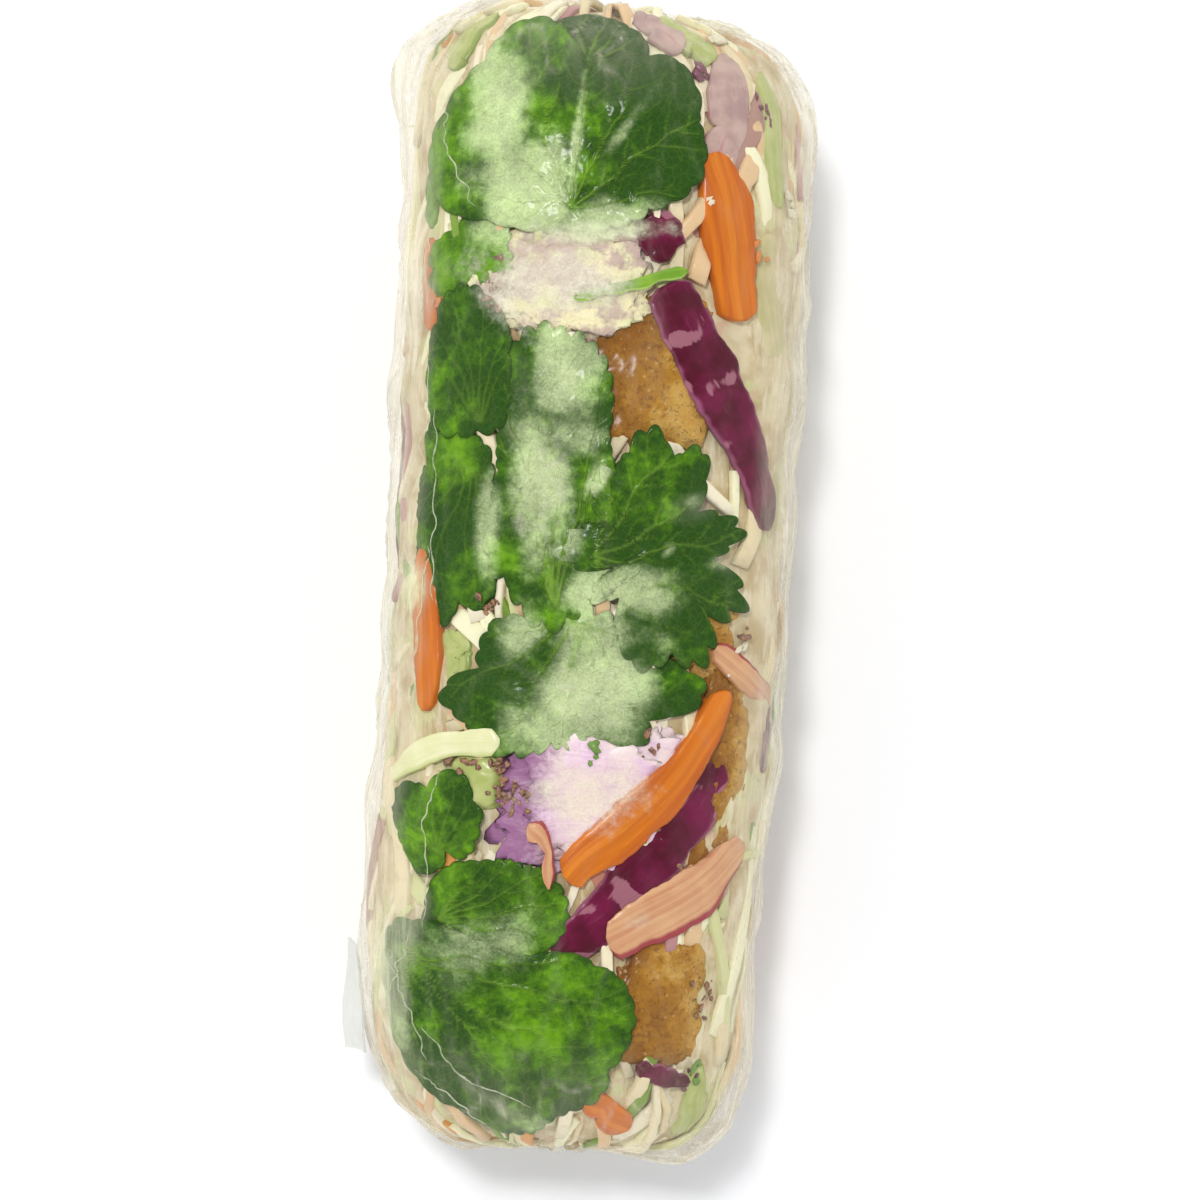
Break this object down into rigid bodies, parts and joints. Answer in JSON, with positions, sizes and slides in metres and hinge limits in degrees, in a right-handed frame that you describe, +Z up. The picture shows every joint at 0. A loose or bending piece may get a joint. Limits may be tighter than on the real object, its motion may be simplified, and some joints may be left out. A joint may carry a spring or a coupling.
{
  "type": "rice paper roll",
  "caption": "Uncut fresh summer roll: clear wet rice paper rolled over herb leaves, carrot, red cabbage, onion, celery and tofu.",
  "frame": {"origin": "on the table under the middle of the roll's bounding box", "axes": "+Y along the roll towards its end with the large herb leaf, +Z up, +X to the right seen from above with +Y away"},
  "size_m": [0.0496, 0.13, 0.0363],
  "materials": {
    "rice_paper": "wet translucent rice paper, milky where it folds or lifts",
    "herb": "fresh green herb leaf with pale veins",
    "carrot": "raw carrot julienne, fine fibres",
    "red_cabbage": "dark purple cabbage skin, waxy",
    "lilac_cabbage": "pale lilac inner cabbage",
    "white_cabbage": "pale cream cabbage, moist",
    "onion": "red onion flesh with a darker skin edge",
    "tofu": "fried tofu, golden brown grain",
    "cucumber": "pale green celery and cucumber, juicy",
    "noodle": "shredded pale filling and noodles"
  },
  "bodies": {
    "root": {"cabbage_curved": "red_cabbage", "cabbage_left_side": "red_cabbage", "cabbage_long": "red_cabbage", "cabbage_pale_band": "white_cabbage", "cabbage_pale_folded": "lilac_cabbage", "cabbage_side": "red_cabbage", "cabbage_small": "red_cabbage", "cabbage_top": "red_cabbage", "cabbage_under": "red_cabbage", "carrot_bottom": "carrot", "carrot_curved": "carrot", "carrot_middle_left": "carrot", "carrot_right": "carrot", "carrot_right_side": "carrot", "carrot_under": "carrot", "carrot_upper_left": "carrot", "celery_bottom": "cucumber", "celery_left": "cucumber", "celery_top": "cucumber", "celery_upper_left": "cucumber", "celery_upper_right": "cucumber", "cucumber_left": "cucumber", "cucumber_right": "cucumber", "herb_stem": "herb", "leaf_behind": "herb", "leaf_bottom": "herb", "leaf_fourth": "herb", "leaf_left_shoulder": "herb", "leaf_lower_left": "herb", "leaf_lower_middle": "herb", "leaf_second_left": "herb", "leaf_second_low": "herb", "leaf_second_middle": "herb", "leaf_small_left": "herb", "leaf_third": "herb", "leaf_top": "herb", "leaf_under_first": "herb", "leaf_under_second": "herb", "onion_corner": "onion", "onion_curl": "onion", "onion_middle": "onion", "onion_pale_arc": "white_cabbage", "onion_slice": "onion", "onion_top": "onion", "paper_tab": "rice_paper", "rice_paper": "rice_paper", "shredded_filling": "noodle", "tofu_lower": "tofu", "tofu_middle": "tofu", "tofu_right": "tofu", "tofu_upper": "tofu"}
  },
  "joints": []
}
